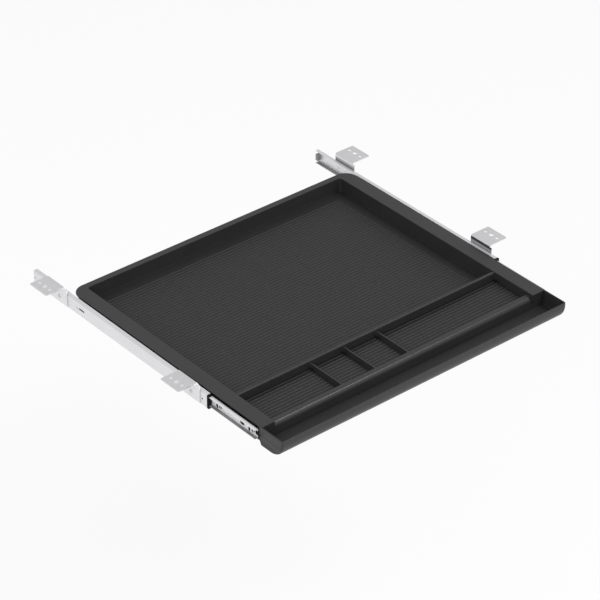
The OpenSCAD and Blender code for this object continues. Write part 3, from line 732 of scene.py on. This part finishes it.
def make_bracket(side, y, material, node):
    """Bent zinc angle: wall on the slide, flange with three holes."""
    front, back = y - FLANGE_HALF, y + FLANGE_HALF
    bm = prism([
        (OUTER_X, BRACKET_BOTTOM), (OUTER_X + BRACKET_T, BRACKET_BOTTOM),
        (OUTER_X + BRACKET_T, -BRACKET_T, BEND_R - BRACKET_T, 6), (FLANGE_X, -BRACKET_T), (FLANGE_X, 0),
        (OUTER_X, 0, BEND_R, 8),
    ], front - WALL_EXTRA, back, "y")
    rear_corner = upright(bm, lambda centre: near(centre.x, FLANGE_X) and near(centre.y, back))
    round_edges(bm, rear_corner, FLANGE_CORNER, 6)
    notch = block((OUTER_X - 2 * MM, front - 2 * WALL_EXTRA, -BEND_R), (FLANGE_X + 2 * MM, front, 3 * MM))
    turn_x, turn_y = FLANGE_X - FLANGE_CORNER, front + FLANGE_CORNER
    outside = block((turn_x, front - 1 * MM, -5 * MM), (FLANGE_X + 1 * MM, turn_y, 5 * MM))
    front_corner = carve(outside, [bar((turn_x, turn_y, 0), "z", FLANGE_CORNER, 20 * MM, 48)])
    through = 10 * MM
    cuts = [notch, front_corner, bar((HOLE_X, y, 0), "z", HOLE_R, through, 40)]
    cuts += [bar((HOLE_X, y + s * HOLE_PITCH, 0), "z", SMALL_HOLE_R, through) for s in (-1, 1)]
    cuts += [bar((OUTER_X, y + dy, SLIDE_Z), "x", RIVET_HOLE_R, through) for dy in RIVETS]
    bm = carve(bm, cuts)
    join_near(bm)
    if side < 0:
        bm = mirrored(bm)
    finished(bm, node + "_sheet", material, "frame", node)


def turned(profile, x, y, z, side):
    """A turned part along X from (radius, distance out) points in millimetres."""
    bm = bmesh.new()
    verts = [bm.verts.new((out * MM, 0, radius * MM)) for radius, out in profile]
    edges = [bm.edges.new(pair) for pair in zip(verts, verts[1:])]
    bmesh.ops.spin(bm, geom=verts + edges, cent=(0, 0, 0), axis=(1, 0, 0), dvec=(0, 0, 0),
                   angle=2 * math.pi, steps=32, use_merge=True)
    join_near(bm)
    bmesh.ops.translate(bm, vec=(x, y, z), verts=bm.verts)
    if side < 0:
        bmesh.ops.scale(bm, vec=(-1, 1, 1), verts=bm.verts)
    bmesh.ops.recalc_face_normals(bm, faces=bm.faces)
    return bm


def make_rivets(side, material, node):
    """Flush shanks with domed, dimpled heads."""
    bm = bmesh.new()
    for bracket_y in (-BRACKET_Y, BRACKET_Y):
        for dy in RIVETS:
            add_to(bm, turned(RIVET_PROFILE, WEB_IN, bracket_y + dy, SLIDE_Z, side))
    finished(bm, node + "_heads", material, "frame", node)


def make_screws(side, material, node):
    """Pan heads with a cross recess, and plain shanks in the tray's bosses."""
    top, long, short = TRAY_X + 3 * MM, 2.3 * MM, 0.85 * MM
    bm = bmesh.new()
    for y in SCREWS:
        recess = [block((top - 1.5 * MM, y - a, SLIDE_Z - b), (top + 1 * MM, y + a, SLIDE_Z + b))
                  for a, b in ((long, short), (short, long))]
        screw = carve(turned(SCREW_PROFILE, RAIL_X, y, SLIDE_Z, 1), recess)
        add_to(bm, mirrored(screw) if side < 0 else screw)
    finished(bm, node + "_heads", material, "drawer", node)


# Room, lamps and world

def background_rays(nodes):
    """The rays that meet a white ground: camera, mirrored and see-through ones."""
    camera, glossy, through = (nodes.add("ShaderNodeLightPath", output=kind) for kind in (
        "Is Camera Ray", "Is Glossy Ray", "Is Transmission Ray"))
    return camera.maths("MAXIMUM", camera.maths("MAXIMUM", camera, glossy), through)


def make_ground():
    """A pale floor that is nearly white in the picture and keeps a faint shadow of the object."""
    bm = bmesh.new()
    bmesh.ops.create_grid(bm, x_segments=1, y_segments=1, size=GROUND_SIZE)
    bmesh.ops.translate(bm, vec=(0, 0, GROUND_Z), verts=bm.verts)
    floor = to_object(bm, "pale_floor")
    paint = Finish("pale_floor")
    plain = paint.add("ShaderNodeBsdfDiffuse", None, {"Color": (0.8, 0.8, 0.8, 1)})
    shaded = paint.add("ShaderNodeBsdfDiffuse", None, {"Color": (1, 1, 1, 1)})
    glow = paint.add("ShaderNodeEmission", None, {"Strength": 1.0})
    seen = paint.add("ShaderNodeMixShader", None, {0: GROUND_WHITE, 1: shaded, 2: glow})
    mix = paint.add("ShaderNodeMixShader", None, {0: background_rays(paint), 1: plain, 2: seen})
    floor.data.materials.append(paint.done(mix))


def make_sky():
    """A soft sky that is white where the camera sees it."""
    world = bpy.data.worlds.new("studio")
    world.use_nodes = True
    bpy.context.scene.world = world
    sky = Nodes(world.node_tree)
    soft = sky.add("ShaderNodeBackground", None, {"Strength": SKY_STRENGTH})
    white = sky.add("ShaderNodeBackground", None, {"Color": (1, 1, 1, 1), "Strength": 1.0})
    camera = sky.add("ShaderNodeLightPath", output="Is Camera Ray")
    sky.end("ShaderNodeOutputWorld", sky.add("ShaderNodeMixShader", None, {0: camera, 1: soft, 2: white}))


def place_lamps():
    for name, where, size, power in LAMPS:
        data = bpy.data.lights.new(name, "AREA")
        data.shape = "SQUARE"
        data.size = size
        data.energy = power
        lamp = bpy.data.objects.new(name, data)
        lamp.location = where
        lamp.rotation_euler = (-Vector(where)).to_track_quat("-Z", "Y").to_euler()
        bpy.context.scene.collection.objects.link(lamp)


def dress(node, material):
    """Gives a carried-over CAD node its finish."""
    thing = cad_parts[node]
    thing.data.materials.clear()
    thing.data.materials.append(material)


place_camera()
make_ground()
make_sky()
place_lamps()

black = moulded_black()
slide_zinc = zinc_plate("slide_zinc", (0.80, 0.80, 0.82), (0.75, 0.75, 0.77), 0.34, 0.7, grease_and_shade_in_channel)
rail_zinc = zinc_plate("rail_zinc", (0.84, 0.84, 0.86), (0.79, 0.79, 0.81), 0.45, 0.3, grease_and_shade_on_rail)
bracket_zinc = zinc_plate("bracket_zinc", (0.79, 0.79, 0.805), (0.74, 0.74, 0.76), 0.22, 0.85, shade_on_wall)
retainer_steel = zinc_plate("retainer_steel", (0.66, 0.66, 0.67), (0.57, 0.57, 0.58), 0.28, 0.7)
fastener_zinc = zinc_plate(
    "fastener_zinc", (0.70, 0.70, 0.72), (0.62, 0.62, 0.64), 0.36, 0.6, shade_in_recess)
guide_plastic = guide_black()
rubber = bumper_rubber()
ball_steel = polished_steel()

make_tray(black)
for side, word in ((-1, "left"), (1, "right")):
    make_bracket(side, -BRACKET_Y, bracket_zinc, "bracket_" + word + "_front")
    make_bracket(side, BRACKET_Y, bracket_zinc, "bracket_" + word + "_rear")
    make_rivets(side, fastener_zinc, "bracket_rivets_" + word)
    make_screws(side, fastener_zinc, "tray_screws_" + word)
    dress("outer_member_" + word, slide_zinc)
    make_rail(side, rail_zinc, "inner_member_" + word)
    dress("ball_retainer_" + word, retainer_steel)
    dress("bearing_balls_" + word, ball_steel)
    dress("front_guide_" + word, guide_plastic)
    dress("rear_bumper_" + word, rubber)

bpy.context.scene.view_settings.view_transform = "Standard"
